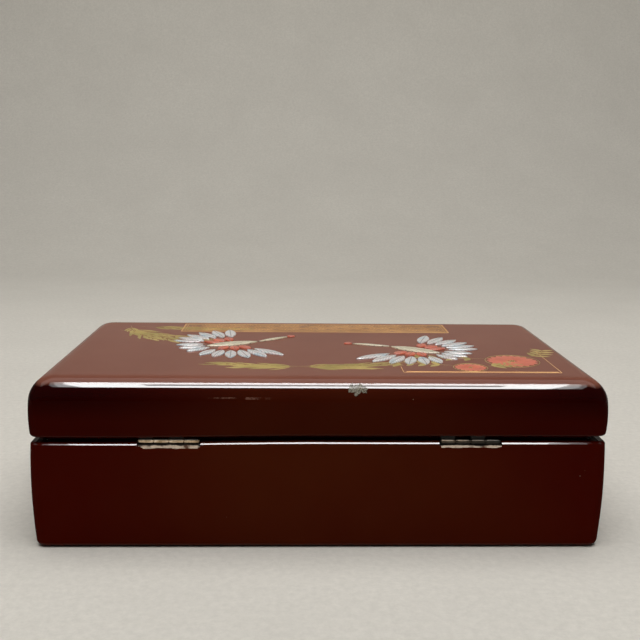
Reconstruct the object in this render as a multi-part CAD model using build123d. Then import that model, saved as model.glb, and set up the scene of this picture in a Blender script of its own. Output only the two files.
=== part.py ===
from build123d import *
import math
import os

# Lacquered jewelry box: a mitred case and lid on two brass butt hinges, lined with velvet, with a
# mirror in the lid and a tray that lifts out. Millimetres. +Z up, +X to the right and -Y towards
# someone in front of the box, so the hinges are at +Y. The origin is the centre of the underside.

# Case and lid, outside
length = 270.0
depth = 160.0
height = 81.5
rim_z = 52.3
seam_gap = 2.6
wall = 8.0
corner_r = 5.0
lid_belly_corner_r = 6.5
lid_top_corner_r = 12.0
lid_edge_r = 11.0
seam_edge_r = 1.5
foot_edge_r = 2.6

# How far each height is drawn in from the widest outline
foot_draw = 1.7
base_belly_draw = 0.4
rim_draw = 0.8
lid_seam_draw = 0.7
lid_top_draw = 0.9
base_belly_z = 26.0
lid_belly_rise = 12.5

# Boards
felt_t = 0.5
felt_inset = 5.0
bottom_t = 4.0
rabbet = 3.0
lid_top_t = 6.0

# Hinges
hinge_spacing = 140.0
barrel_len = 28.0
barrel_r = 1.3
knuckles = 4
knuckle_gap = 0.15
pin_r = 0.55
pin_fit = 0.03
pin_drop = 0.1
pin_inset = 2.3
leaf_w = 5.3
leaf_t = 0.75
leaf_gap = 0.25
notch_end_gap = 0.6
barrel_relief = 0.25
screw_spacing = 18.0
screw_len = 6.5
screw_r = 0.8
screw_head_r = 1.5
screw_head_t = 0.6
screw_slot_w = 0.4
screw_slot_depth = 0.3
screw_fit = 0.03

# Velvet lining and mirror
lining_t = 2.0
floor_pad_t = 3.0
floor_pad_edge_r = 1.0
backing_t = 2.0
backing_gap = 0.3
mirror_length = 204.0
mirror_depth = 94.0
mirror_t = 2.0
mirror_corner_r = 5.0
mirror_bevel = 0.8
ledge_w = 5.0
ledge_h = 18.0

# Tray
tray_gap = 0.8
tray_h = 20.0
tray_wall = 3.0
tray_floor_t = 2.5
tray_edge_r = 1.2
divider_t = 2.6
divider_drop = 2.0
ring_lane_depth = 44.0
ring_lane_length = 142.0
left_pocket_length = 72.0
middle_pocket_length = 96.0
ring_rolls = 4
ring_roll_gap = 0.3
ring_roll_h = 13.0
ribbon_w = 12.0
ribbon_t = 0.6
ribbon_rise = 5.0
ribbon_tail = 9.0

# Decoration: two cranes of thin shell, coral and bone pieces glued on the lid
inlay_t = 0.7
inlay_fill = 0.88
crane_left_x = -52.0
crane_left_y = 10.0
crane_left_heading = 325.0
crane_right_x = 46.0
crane_right_y = -4.0
crane_right_heading = 205.0
crane_body_length = 30.0
crane_body_w = 9.5
crane_neck_length = 21.0
crane_neck_w = 3.4
crane_neck_bend = 16.0
crane_head_r = 2.2
piece_gap = 0.4
covert_root_r = 7.0
covert_length = 10.0
coverts = 3
primary_root_r = 18.0
primary_length = 23.0
primary_taper = 7.0
primaries = 6
wing_sweep = 84.0
wing_forward = 52.0
tail_length = 15.0
tail_spread = 17.0
tail_feathers = 3

# Worked out from the sizes above
lid_bottom_z = rim_z + seam_gap
panel_top_z = felt_t + bottom_t
top_panel_z = height - lid_top_t
lining_meet_z = rim_z + seam_gap / 2
inner_length = length - 2 * wall
inner_depth = depth - 2 * wall
lined_length = inner_length - 2 * lining_t
lined_depth = inner_depth - 2 * lining_t
pin_y = depth / 2 - pin_inset
pin_z = rim_z - pin_drop
seat_z = pin_z - barrel_r
floor_z = panel_top_z + floor_pad_t
tray_z = floor_z + ledge_h
tray_length = lined_length - 2 * tray_gap
tray_depth = lined_depth - 2 * tray_gap


def slab(size_x, size_y, z_low, z_high, x=0, y=0):
    """Upright box with its middle at x, y."""
    return Pos(x, y, z_low) * Box(size_x, size_y, z_high - z_low, align=(Align.CENTER, Align.CENTER, Align.MIN))


def save(node, shapes):
    """Write one node, a single solid or a group of separate ones."""
    solids = list(shapes) if isinstance(shapes, (list, tuple, ShapeList)) else shapes.solids()
    shape = solids[0] if len(solids) == 1 else Compound(children=solids)
    export_step(shape, f"parts/{node}.step")


def outline(z, draw, radius):
    """Rounded plan outline of the case at one height."""
    return Plane.XY.offset(z) * RectangleRounded(length - 2 * draw, depth - 2 * draw, radius)


def rounded_ends(block, low_r, high_r):
    """Round a block's edges around its underside and around its top."""
    block = fillet(block.edges().group_by(Axis.Z)[-1], high_r)
    return fillet(block.edges().group_by(Axis.Z)[0], low_r)


def mitred_boards(ring, z_low, z_high):
    """Cut a ring of wall into front, rear, left and right boards on the 45 degree planes."""
    margin = wall
    far_x = length / 2 + margin
    far_y = depth / 2 + margin
    reach = margin + wall
    long_plan = Polyline(
        (-far_x, -far_y), (far_x, -far_y), (far_x - reach, reach - far_y), (reach - far_x, reach - far_y), close=True
    )
    short_plan = Polyline(
        (far_x, -far_y), (far_x, far_y), (far_x - reach, far_y - reach), (far_x - reach, reach - far_y), close=True
    )
    long_cut = Pos(0, 0, z_low) * extrude(make_face(long_plan), z_high - z_low)
    short_cut = Pos(0, 0, z_low) * extrude(make_face(short_plan), z_high - z_low)
    return {
        "front": ring & long_cut,
        "rear": ring & mirror(long_cut, Plane.XZ),
        "right": ring & short_cut,
        "left": ring & mirror(short_cut, Plane.YZ),
    }


def screw(extra=0.0):
    """Countersunk screw pointing down from the origin, or the hole for it when extra is its clearance."""
    head_t = screw_head_t
    shank = Pos(0, 0, -screw_len / 2) * Cylinder(screw_r + extra, screw_len)
    head = Pos(0, 0, -head_t / 2) * Cone(screw_r + extra, screw_head_r + extra, head_t)
    body = shank + head
    if extra:
        return body
    return body - slab(2 * screw_head_r, screw_slot_w, -screw_slot_depth, screw_slot_depth)


def screw_places(face_z, flip):
    """Locations of the screws of both hinges on a leaf's face."""
    screw_y = pin_y - (leaf_w + barrel_r + leaf_gap) / 2
    turn = Rot(180, 0, 0) if flip else Rot(0, 0, 0)
    return [
        Pos(hinge_x + dx, screw_y, face_z) * turn
        for hinge_x in (-hinge_spacing / 2, hinge_spacing / 2)
        for dx in (-screw_spacing / 2, screw_spacing / 2)
    ]


def knuckle_spans(first):
    """Start of every second knuckle along the barrel, and the length of one."""
    pitch = (barrel_len + knuckle_gap) / knuckles
    return [-barrel_len / 2 + pitch * k for k in range(first, knuckles, 2)], pitch - knuckle_gap


def leaf(hinge_x, z_low, first, screw_holes):
    """Hinge leaf with its own knuckles, its plate standing on z_low and cranked to reach the barrel."""
    plate_edge = barrel_r + leaf_gap
    plate = slab(barrel_len, leaf_w - plate_edge, z_low, z_low + leaf_t, y=-(leaf_w + plate_edge) / 2)
    crank_low, crank_high = sorted((pin_z, z_low + leaf_t))
    starts, span = knuckle_spans(first)
    for start in starts:
        middle = start + span / 2
        barrel = Pos(middle, 0, pin_z) * Rot(0, 90, 0) * Cylinder(barrel_r, span)
        plate += barrel + slab(span, plate_edge, z_low, z_low + leaf_t, x=middle, y=-plate_edge / 2)
        plate += slab(span, leaf_t, crank_low, crank_high, x=middle, y=-leaf_t / 2)
    plate -= Pos(0, 0, pin_z) * Rot(0, 90, 0) * Cylinder(pin_r + pin_fit, barrel_len)
    plate = Pos(hinge_x, pin_y, 0) * plate
    for hole in screw_holes:
        plate -= hole
    return plate


os.makedirs("parts", exist_ok=True)

# Base walls
base_ring = loft([
    outline(felt_t, foot_draw, corner_r),
    outline(base_belly_z, base_belly_draw, corner_r),
    outline(rim_z, rim_draw, corner_r),
])
base_ring = rounded_ends(base_ring, foot_edge_r, seam_edge_r)
base_ring -= slab(inner_length, inner_depth, 0, height)
base_ring -= slab(inner_length + 2 * rabbet, inner_depth + 2 * rabbet, 0, panel_top_z)
base_boards = mitred_boards(base_ring, 0, height)

# Hinge seats and screw holes in the rear base board
base_screw_holes = [place * screw(screw_fit) for place in screw_places(seat_z + leaf_t, False)]
notch_length = barrel_len + 2 * notch_end_gap
leaf_inner_y = pin_y - leaf_w
relief_inner_y = pin_y - barrel_r - leaf_gap
for hinge_x in (-hinge_spacing / 2, hinge_spacing / 2):
    for inner_y, floor in ((leaf_inner_y, seat_z), (relief_inner_y, seat_z - barrel_relief)):
        cut_depth = depth / 2 + wall - inner_y
        base_boards["rear"] -= slab(notch_length, cut_depth, floor, height, hinge_x, inner_y + cut_depth / 2)
for hole in base_screw_holes:
    base_boards["rear"] -= hole
for side, board in base_boards.items():
    save(f"base_{side}_board", board)

bottom_panel = slab(inner_length + 2 * rabbet, inner_depth + 2 * rabbet, felt_t, panel_top_z)
save("base_bottom_panel", bottom_panel)
felt_corner_r = corner_r - felt_inset / 2
felt = extrude(RectangleRounded(length - 2 * felt_inset, depth - 2 * felt_inset, felt_corner_r), felt_t)
save("base_felt", felt)

# Lid walls and top
lid_block = loft([
    outline(lid_bottom_z, lid_seam_draw, corner_r),
    outline(lid_bottom_z + lid_belly_rise, 0, lid_belly_corner_r),
    outline(height, lid_top_draw, lid_top_corner_r),
])
lid_block = rounded_ends(lid_block, seam_edge_r, lid_edge_r)
top_panel = lid_block & slab(2 * length, 2 * depth, top_panel_z, 2 * height)
lid_ring = lid_block - slab(2 * length, 2 * depth, top_panel_z, 2 * height)
lid_ring -= slab(inner_length, inner_depth, 0, height)
lid_boards = mitred_boards(lid_ring, 0, height)
lid_leaf_z = lid_bottom_z - leaf_t
lid_screw_holes = [place * screw(screw_fit) for place in screw_places(lid_leaf_z, True)]
for hole in lid_screw_holes:
    lid_boards["rear"] -= hole
for side, board in lid_boards.items():
    save(f"lid_{side}_board", board)
save("lid_top_panel", top_panel)

# Hinges: each has a leaf in the base's seat, a leaf under the lid's wall, a pin and four screws
for side, hinge_x in (("left", -hinge_spacing / 2), ("right", hinge_spacing / 2)):
    save(f"hinge_{side}_base_leaf", leaf(hinge_x, seat_z, 0, base_screw_holes))
    save(f"hinge_{side}_lid_leaf", leaf(hinge_x, lid_leaf_z, 1, lid_screw_holes))
    pin = Pos(hinge_x, pin_y, pin_z) * Rot(0, 90, 0) * Cylinder(pin_r, barrel_len)
    save(f"hinge_{side}_pin", pin)
save("hinge_base_screws", [place * screw() for place in screw_places(seat_z + leaf_t, False)])
save("hinge_lid_screws", [place * screw() for place in screw_places(lid_leaf_z, True)])

# Linings: strips on every wall, which meet halfway up the seam and carry the closed lid
strips = {
    "front": (inner_length, lining_t, 0, (lining_t - inner_depth) / 2),
    "rear": (inner_length, lining_t, 0, (inner_depth - lining_t) / 2),
    "left": (lining_t, lined_depth, (lining_t - inner_length) / 2, 0),
    "right": (lining_t, lined_depth, (inner_length - lining_t) / 2, 0),
}
for side, (size_x, size_y, x, y) in strips.items():
    save(f"base_lining_{side}", slab(size_x, size_y, panel_top_z, lining_meet_z, x, y))
    save(f"lid_lining_{side}", slab(size_x, size_y, lining_meet_z, top_panel_z, x, y))

floor_pad = slab(lined_length, lined_depth, panel_top_z, floor_z)
save("base_floor_pad", fillet(floor_pad.edges().group_by(Axis.Z)[-1], floor_pad_edge_r))
for side, sign in (("left", -1), ("right", 1)):
    ledge_x = sign * (lined_length - ledge_w) / 2
    save(f"tray_ledge_{side}", slab(ledge_w, lined_depth, floor_z, tray_z, ledge_x))

# Mirror glued to a velvet-covered backing under the lid's top
backing_z = top_panel_z - backing_t
mirror_z = backing_z - mirror_t
save(
    "lid_backing",
    slab(lined_length - 2 * backing_gap, lined_depth - 2 * backing_gap, backing_z, top_panel_z),
)
mirror_plan = RectangleRounded(mirror_length, mirror_depth, mirror_corner_r)
glass = Pos(0, 0, mirror_z) * extrude(mirror_plan, mirror_t)
save("lid_mirror", chamfer(glass.edges().group_by(Axis.Z)[0], mirror_bevel))

# Tray walls: long ones at the front and rear, short ones between them, all on the floor board
tray_top_z = tray_z + tray_h
tray_floor_top = tray_z + tray_floor_t
tray_inner_length = tray_length - 2 * tray_wall
tray_inner_depth = tray_depth - 2 * tray_wall
save("tray_floor", slab(tray_length, tray_depth, tray_z, tray_floor_top))
for side, sign in (("front", -1), ("rear", 1)):
    long_wall = slab(tray_length, tray_wall, tray_floor_top, tray_top_z, y=sign * (tray_depth - tray_wall) / 2)
    save(f"tray_{side}_wall", fillet(long_wall.edges().group_by(Axis.Z)[-1].filter_by(Axis.X), tray_edge_r))
for side, sign in (("left", -1), ("right", 1)):
    end_x = sign * (tray_length - tray_wall) / 2
    short_wall = slab(tray_wall, tray_inner_depth, tray_floor_top, tray_top_z, x=end_x)
    save(f"tray_{side}_wall", fillet(short_wall.edges().group_by(Axis.Z)[-1].filter_by(Axis.Y), tray_edge_r))

# Tray dividers: one along the tray, one behind it beside the ring rolls, two in front of it
divider_top = tray_top_z - divider_drop
lane_rear_y = tray_inner_depth / 2
divider_y = lane_rear_y - ring_lane_depth - divider_t / 2
left_x = -tray_inner_length / 2
save("tray_long_divider", slab(tray_inner_length, divider_t, tray_floor_top, divider_top, y=divider_y))
lane_divider_x = left_x + ring_lane_length + divider_t / 2
save(
    "tray_lane_divider",
    slab(divider_t, ring_lane_depth, tray_floor_top, divider_top, lane_divider_x, lane_rear_y - ring_lane_depth / 2),
)
pocket_depth = tray_inner_depth - ring_lane_depth - divider_t
pocket_y = -tray_inner_depth / 2 + pocket_depth / 2
pocket_x = left_x
for number, pocket_length in enumerate((left_pocket_length, middle_pocket_length), start=1):
    pocket_x += pocket_length + divider_t
    pocket_divider = slab(
        divider_t, pocket_depth, tray_floor_top, divider_top, pocket_x - divider_t / 2, pocket_y
    )
    save(f"tray_pocket_divider_{number}", pocket_divider)

# Ring rolls: padded bars with round tops, side by side, which hold rings between them
roll_pitch = ring_lane_depth / ring_rolls
roll_w = roll_pitch - ring_roll_gap
roll_length = ring_lane_length - 2 * ring_roll_gap
roll_shoulder = ring_roll_h - roll_w / 2
roll_x = left_x + ring_lane_length / 2
for number in range(ring_rolls):
    roll_y = lane_rear_y - roll_pitch * (number + 0.5)
    side_lines = Polyline(
        (-roll_w / 2, roll_shoulder), (-roll_w / 2, 0), (roll_w / 2, 0), (roll_w / 2, roll_shoulder)
    )
    crown = ThreePointArc((roll_w / 2, roll_shoulder), (0, ring_roll_h), (-roll_w / 2, roll_shoulder))
    section = Plane.YZ * make_face(side_lines + crown)
    roll = extrude(section, roll_length / 2, both=True)
    save(f"ring_roll_{number + 1}", Pos(roll_x, roll_y, tray_floor_top) * roll)

# Pull ribbons: a tail glued down the inside of each end wall and a tab that stands above it
for side, sign in (("left", -1), ("right", 1)):
    ribbon_x = sign * (tray_inner_length - ribbon_t) / 2
    ribbon_low = tray_top_z - ribbon_tail
    ribbon = slab(ribbon_t, ribbon_w, ribbon_low, tray_top_z + ribbon_rise, ribbon_x, pocket_y)
    save(f"tray_ribbon_{side}", ribbon)

# Cranes on the lid: bone body, neck and head, coral coverts and crown, shell flight and tail feathers


def piece(reach, width):
    """Pointed oval plate that starts at the origin and runs along +X."""
    upper = ThreePointArc((0, 0), (reach / 2, width / 2), (reach, 0))
    lower = ThreePointArc((reach, 0), (reach / 2, -width / 2), (0, 0))
    return extrude(make_face(upper + lower), inlay_t)


def fan(middle_angle, spread, count, root_r, reaches):
    """Pointed plates side by side in a fan, each as wide as its share of the spread allows."""
    step = spread / count
    plates = []
    for number, reach in zip(range(count), reaches):
        angle = middle_angle + step * (number - (count - 1) / 2)
        width = 2 * (root_r + reach / 2) * math.tan(math.radians(step / 2)) * inlay_fill
        plates.append(Rot(0, 0, angle) * Pos(root_r, 0, 0) * piece(reach, width))
    return plates


for side, crane_x, crane_y, heading in (
    ("left", crane_left_x, crane_left_y, crane_left_heading),
    ("right", crane_right_x, crane_right_y, crane_right_heading),
):
    place = Pos(crane_x, crane_y, height) * Rot(0, 0, heading)
    body = Pos(-crane_body_length / 2, 0, 0) * piece(crane_body_length, crane_body_w)
    neck_turn = Pos(crane_body_length / 2 + piece_gap, 0, 0) * Rot(0, 0, crane_neck_bend)
    neck = neck_turn * piece(crane_neck_length, crane_neck_w)
    head_x = crane_neck_length + piece_gap + crane_head_r
    head = neck_turn * Pos(head_x, 0, inlay_t / 2) * Cylinder(crane_head_r, inlay_t)
    save(f"crane_{side}_bone_pieces", [place * shape for shape in (body, neck)])
    wing_angle = 90 + wing_sweep / 2 - wing_forward / 2
    coral = [head]
    shell = []
    for sign in (-1, 1):
        coral += fan(sign * wing_angle, wing_sweep, coverts, covert_root_r, [covert_length] * coverts)
        reaches = [primary_length - primary_taper * number / (primaries - 1) for number in range(primaries)]
        shell += fan(sign * wing_angle, wing_sweep, primaries, primary_root_r, reaches[::sign])
    tail_root = crane_body_length / 2 + piece_gap
    shell += fan(180, tail_spread * tail_feathers, tail_feathers, tail_root, [tail_length] * tail_feathers)
    save(f"crane_{side}_coral_pieces", [place * shape for shape in coral])
    save(f"crane_{side}_shell_pieces", [place * shape for shape in shell])
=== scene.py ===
import math
import random

import bmesh
import bpy
from mathutils import Matrix, Vector, noise


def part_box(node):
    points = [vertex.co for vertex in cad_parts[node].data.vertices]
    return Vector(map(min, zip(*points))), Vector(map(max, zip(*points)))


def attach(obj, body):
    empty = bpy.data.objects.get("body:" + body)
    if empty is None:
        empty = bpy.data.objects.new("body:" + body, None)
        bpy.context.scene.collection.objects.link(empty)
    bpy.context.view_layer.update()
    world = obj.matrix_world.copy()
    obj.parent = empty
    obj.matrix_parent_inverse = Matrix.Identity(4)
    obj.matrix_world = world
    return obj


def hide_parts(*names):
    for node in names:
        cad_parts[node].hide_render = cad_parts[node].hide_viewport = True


# Looks of a lacquered jewelry box. The CAD frame is in metres; the sizes below are in millimetres and
# are turned into metres where a mesh is made. +Z is up, the hinges are at +Y, and the photograph looks
# at the rear of the box from +Y, so picture left is +X.

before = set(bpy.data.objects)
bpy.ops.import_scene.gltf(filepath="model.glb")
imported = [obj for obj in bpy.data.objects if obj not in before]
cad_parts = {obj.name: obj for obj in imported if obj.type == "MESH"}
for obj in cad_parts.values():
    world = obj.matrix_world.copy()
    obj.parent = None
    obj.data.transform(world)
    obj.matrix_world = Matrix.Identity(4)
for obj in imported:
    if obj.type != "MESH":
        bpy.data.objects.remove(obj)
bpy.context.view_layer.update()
scene = bpy.context.scene
scene.view_settings.view_transform = "Standard"
MM = 0.001


def node_box(name):
    """Lowest and highest corner of a CAD node, in millimetres."""
    low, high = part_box(name)
    return low / MM, high / MM


# Driving sizes in millimetres, read from the frame where it has them
base_low, base_high = node_box("base_rear_board")
lid_low, _ = node_box("lid_rear_board")
top_low, top_high = node_box("lid_top_panel")
pin_low, pin_high = node_box("hinge_left_pin")
leaf_low, leaf_high = node_box("hinge_left_base_leaf")

BASE_BOTTOM = base_low.z
RIM = base_high.z
LID_BOTTOM = lid_low.z
TOP = top_high.z
CEILING = top_low.z
LENGTH = 270.0
DEPTH = 160.0
WALL = 8.0
CORNER_R = 5.0
LID_BELLY_CORNER_R = 6.5
LID_TOP_CORNER_R = 12.0
LID_EDGE_R = 11.0
SEAM_EDGE_R = 1.5
FOOT_EDGE_R = 2.6
FOOT_DRAW = 1.7
BASE_BELLY_DRAW = 0.4
RIM_DRAW = 0.8
LID_SEAM_DRAW = 0.7
LID_TOP_DRAW = 0.9
BASE_BELLY_Z = 26.0
LID_BELLY_RISE = 12.5

HINGE_XS = [sum(corner.x for corner in node_box(f"hinge_{side}_pin")) / 2 for side in ("left", "right")]
BARREL_LEN = pin_high.x - pin_low.x
SEAT_Z = leaf_low.z
SEAT_INNER_Y = leaf_low.y
PIN_Y = (pin_low.y + pin_high.y) / 2
PIN_Z = (pin_low.z + pin_high.z) / 2
BARREL_R = leaf_high.y - PIN_Y


# Camera, fitted to the photograph's outline


def add_camera():
    """Camera at the photograph's place, a little above the lid and behind the box."""
    yaw, pitch, roll = 0.028, 0.1717, 0.0107
    focal_px, frame_px, sensor = 926.0, 640.0, 36.0
    place = Vector((12.3, DEPTH / 2 + 411.4, TOP + 99.5)) * MM
    ahead = Vector((-math.sin(yaw), -math.cos(yaw), 0))
    right = Vector((-math.cos(yaw), math.sin(yaw), 0))
    up = Vector((0, 0, 1))
    look = ahead * math.cos(pitch) - up * math.sin(pitch)
    lift = up * math.cos(pitch) + ahead * math.sin(pitch)
    across = right * math.cos(roll) + lift * math.sin(roll)
    above = lift * math.cos(roll) - right * math.sin(roll)
    data = bpy.data.cameras.new("photo_camera")
    data.sensor_width = sensor
    data.lens = focal_px / frame_px * sensor
    camera = bpy.data.objects.new("photo_camera", data)
    rotation = Matrix((across, above, -look)).transposed()
    camera.matrix_world = Matrix.Translation(place) @ rotation.to_4x4()
    scene.collection.objects.link(camera)
    scene.camera = camera


# Node helpers for materials


class Graph:
    """A material's node tree with short ways to add and join nodes."""

    def __init__(self, name):
        self.material = bpy.data.materials.new(name)
        self.material.use_nodes = True
        self.tree = self.material.node_tree
        self.shader = self.tree.nodes["Principled BSDF"]
        space = self.add("ShaderNodeTexCoord")
        self.coords = space.outputs["Object"]
        self.normals = space.outputs["Normal"]
        self.uvs = space.outputs["UV"]

    def plug(self, socket, value):
        """Joins another node's output to a socket, or sets the socket's own value."""
        if isinstance(value, bpy.types.NodeSocket):
            self.tree.links.new(value, socket)
        elif isinstance(value, tuple):
            socket.default_value = (*value, 1)[: len(socket.default_value)]
        else:
            socket.default_value = value

    def add(self, kind, inputs=None, **settings):
        node = self.tree.nodes.new(kind)
        for key, value in settings.items():
            setattr(node, key, value)
        for key, value in (inputs or {}).items():
            self.plug(node.inputs[key], value)
        return node

    def feed(self, **inputs):
        for key, value in inputs.items():
            self.plug(self.shader.inputs[key.replace("_", " ")], value)

    def mapped(self, scale):
        return self.add("ShaderNodeMapping", {"Vector": self.coords, "Scale": scale}).outputs["Vector"]

    def split(self, vector):
        return self.add("ShaderNodeSeparateXYZ", {"Vector": vector}).outputs

    def noise(self, scale, detail=4.0, rough=0.5, vector=None, distortion=0.0):
        inputs = {"Vector": vector or self.coords, "Scale": scale, "Detail": detail}
        inputs.update({"Roughness": rough, "Distortion": distortion})
        return self.add("ShaderNodeTexNoise", inputs).outputs["Fac"]

    def cells(self, scale):
        return self.add("ShaderNodeTexVoronoi", {"Vector": self.coords, "Scale": scale}).outputs["Distance"]

    def ramp(self, fac, stops):
        node = self.add("ShaderNodeValToRGB", {"Fac": fac})
        elements = node.color_ramp.elements
        while len(elements) < len(stops):
            elements.new(0.5)
        for element, (place, colour) in zip(elements, stops):
            element.position = place
            element.color = (*colour, 1)
        return node.outputs["Color"]

    def range(self, value, low, high, to_low=0.0, to_high=1.0):
        inputs = {"Value": value, "From Min": low, "From Max": high, "To Min": to_low, "To Max": to_high}
        return self.add("ShaderNodeMapRange", inputs).outputs["Result"]

    def math(self, operation, *values):
        return self.add("ShaderNodeMath", dict(enumerate(values)), operation=operation).outputs["Value"]

    def plus(self, first, second):
        return self.math("ADD", first, second)

    def times(self, *values):
        product = values[0]
        for value in values[1:]:
            product = self.math("MULTIPLY", product, value)
        return product

    def between(self, value, low, high, soft):
        """1 between low and high, falling to 0 over a soft margin outside."""
        return self.times(self.range(value, low - soft, low), self.range(value, high + soft, high))

    def mix(self, fac, first, second):
        return self.add("ShaderNodeMix", {0: fac, 6: first, 7: second}, data_type="RGBA").outputs[2]

    def bump(self, height, distance, strength=1.0, normal=None):
        inputs = {"Strength": strength, "Distance": distance, "Height": height}
        if normal:
            inputs["Normal"] = normal
        return self.add("ShaderNodeBump", inputs).outputs["Normal"]


# Places used by the materials, in metres apart from the chip's, which is in millimetres
SEAM_BAND = (0.0535, 0.0545)
HINGE_SPLIT = (-0.05, 0.0)
SCRATCH_RUNS = ((0.028, 0.062), (-0.072, -0.036))
SCRATCH_HEIGHTS = (0.0715, 0.0735)
CHIP_PLACE = (-16.8, 78.2, 77.5)
CHIP_FLATTENING = 0.72


def lacquer_material():
    """Deep maroon lacquer with scratches, specks and a chip. Its colour holds painted light: the lid's top is
    lighter than the sides as a painted reflection of the pale backdrop, the lid's sides carry painted shade,
    and a painted brownish reflection lies across the middle of the sides.
    """
    g = Graph("maroon_lacquer")
    x, y, z = g.split(g.coords)
    cloud = g.noise(9, 4, 0.55)
    sides = g.ramp(cloud, ((0.3, (0.044, 0.0015, 0.0001)), (0.7, (0.057, 0.0034, 0.0004))))
    # Painted reflection: a brownish haze mixed into the middle of the sides.
    middle = g.between(x, -0.045, 0.03, 0.08)
    sides = g.mix(g.times(middle, g.range(cloud, 0.3, 0.7, 0.25, 0.7)), sides, (0.069, 0.0135, 0.003))
    on_lid = g.range(z, *SEAM_BAND)
    # Painted shade: the lid's sides are darker than the base's, and darkest high up towards the ends.
    lid_shade_high_ends = g.times(g.range(z, 0.062, 0.073), g.math("SUBTRACT", 1.0, middle), 0.6)
    sides = g.mix(g.times(on_lid, g.plus(lid_shade_high_ends, 0.34)), sides, (0.014, 0.0001, 0.0001))
    # Painted reflection: the lid's top and the upper part of its edge rounding are lighter, standing in for
    # the pale backdrop reflected at a grazing angle.
    painted_top_reflection = g.ramp(cloud, ((0.3, (0.188, 0.064, 0.042)), (0.7, (0.230, 0.085, 0.056))))
    _, facing_rear, facing_up = g.split(g.normals)
    colour = g.mix(g.times(on_lid, g.range(facing_up, 0.70, 0.82)), sides, painted_top_reflection)

    dust = g.times(g.range(g.cells(170), 0.05, 0.03), g.range(g.noise(60, 1), 0.62, 0.66))
    colour = g.mix(g.times(dust, 0.7), colour, (0.32, 0.22, 0.18))

    streak = g.range(g.noise(14, 2, 0.4, g.mapped((1.6, 20, 40))), 0.60, 0.66)
    streak = g.times(streak, g.range(g.noise(210, 4, 0.7), 0.47, 0.6))
    rear = g.range(y, 0.074, 0.076)
    left_run, right_run = (g.between(x, *run, 0.006) for run in SCRATCH_RUNS)
    height = g.between(z, *SCRATCH_HEIGHTS, 0.0008)
    scratches = g.times(streak, rear, height, g.plus(left_run, right_run))
    colour = g.mix(g.times(scratches, 0.5), colour, (0.30, 0.15, 0.11))

    centre = Vector(CHIP_PLACE) * MM
    spots = {0: g.mapped((CHIP_FLATTENING, 1, 1)), 1: (centre.x * CHIP_FLATTENING, centre.y, centre.z)}
    distance = g.add("ShaderNodeVectorMath", spots, operation="DISTANCE").outputs["Value"]
    ragged = g.plus(distance, g.range(g.noise(500, 3), 0.3, 0.7, -0.0012, 0.0012))
    chip = g.range(ragged, 0.0031, 0.0027)
    grit = g.ramp(g.noise(1500, 3, 0.6), ((0.35, (0.05, 0.045, 0.03)), (0.65, (0.34, 0.31, 0.25))))
    colour = g.mix(chip, colour, grit)

    smudge = g.range(g.noise(26, 6, 0.6), 0.35, 0.75, 0.05, 0.13)
    dull = g.math("MAXIMUM", g.times(chip, 0.8), g.times(scratches, 0.3))
    g.feed(Base_Color=colour, Roughness=g.math("MAXIMUM", smudge, dull))
    g.feed(IOR=1.47, Specular_IOR_Level=0.0, Coat_Roughness=0.03, Coat_IOR=1.5)
    edges = g.times(g.range(facing_up, 0.12, 0.32), g.range(facing_up, 0.90, 0.80))
    edges = g.times(edges, g.range(facing_rear, 0.35, 0.75, 0.4, 1))
    gloss = g.plus(g.range(edges, 0, 1, 0.03, 0.5), g.range(facing_up, 0.80, 0.92, 0, 0.40))
    gloss = g.plus(gloss, g.range(facing_up, -0.25, -0.6, 0, 0.3))
    g.feed(Coat_Weight=g.times(gloss, g.range(dull, 0, 1, 1, 0.1)))
    peel = g.bump(g.noise(420, 2, 0.5), 0.00002, 0.25)
    wave = g.bump(g.noise(22, 2, 0.4), 0.0009, 0.12, peel)
    g.feed(Normal=g.bump(chip, 0.0006, 0.8, wave))
    return g.material


def raw_wood_material():
    """Bare wood and grey ground where the lacquer was cut away at the hinge seats, turning nearly black as
    painted shade towards the seat under the knuckles.
    """
    g = Graph("raw_wood")
    grain = g.noise(90, 6, 0.6, g.mapped((3, 30, 30)))
    tone = g.ramp(grain, ((0.3, (0.48, 0.36, 0.26)), (0.7, (0.86, 0.72, 0.58))))
    stained = g.mix(g.range(g.noise(300, 3), 0.5, 0.68), tone, (0.12, 0.06, 0.035))
    x, _, z = g.split(g.coords)
    # Painted shade: the cut wood darkens to nearly black towards the seat under the knuckles, along a ragged
    # edge set a little differently for each hinge.
    shade_z = g.plus(z, g.range(g.noise(220, 3), 0.3, 0.7, -0.0003, 0.0003))
    shade_z = g.plus(shade_z, g.range(x, *HINGE_SPLIT, -0.0003, 0.0))
    painted_shade_near_seat = g.range(shade_z, (SEAT_Z - 0.95) * MM, (SEAT_Z - 0.6) * MM)
    g.feed(Base_Color=g.mix(painted_shade_near_seat, stained, (0.010, 0.006, 0.004)))
    g.feed(Roughness=0.85, Specular_IOR_Level=0.1)
    g.feed(Normal=g.bump(grain, 0.0003, 0.6))
    return g.material


def board_material():
    """Thin pale board under the floor pad."""
    g = Graph("thin_board")
    grain = g.noise(26, 6, 0.6, g.mapped((1, 14, 14)))
    g.feed(Base_Color=g.ramp(grain, ((0.3, (0.42, 0.28, 0.16)), (0.7, (0.60, 0.44, 0.28)))))
    g.feed(Roughness=0.7)
    g.feed(Normal=g.bump(grain, 0.0002, 0.4))
    return g.material


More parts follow.
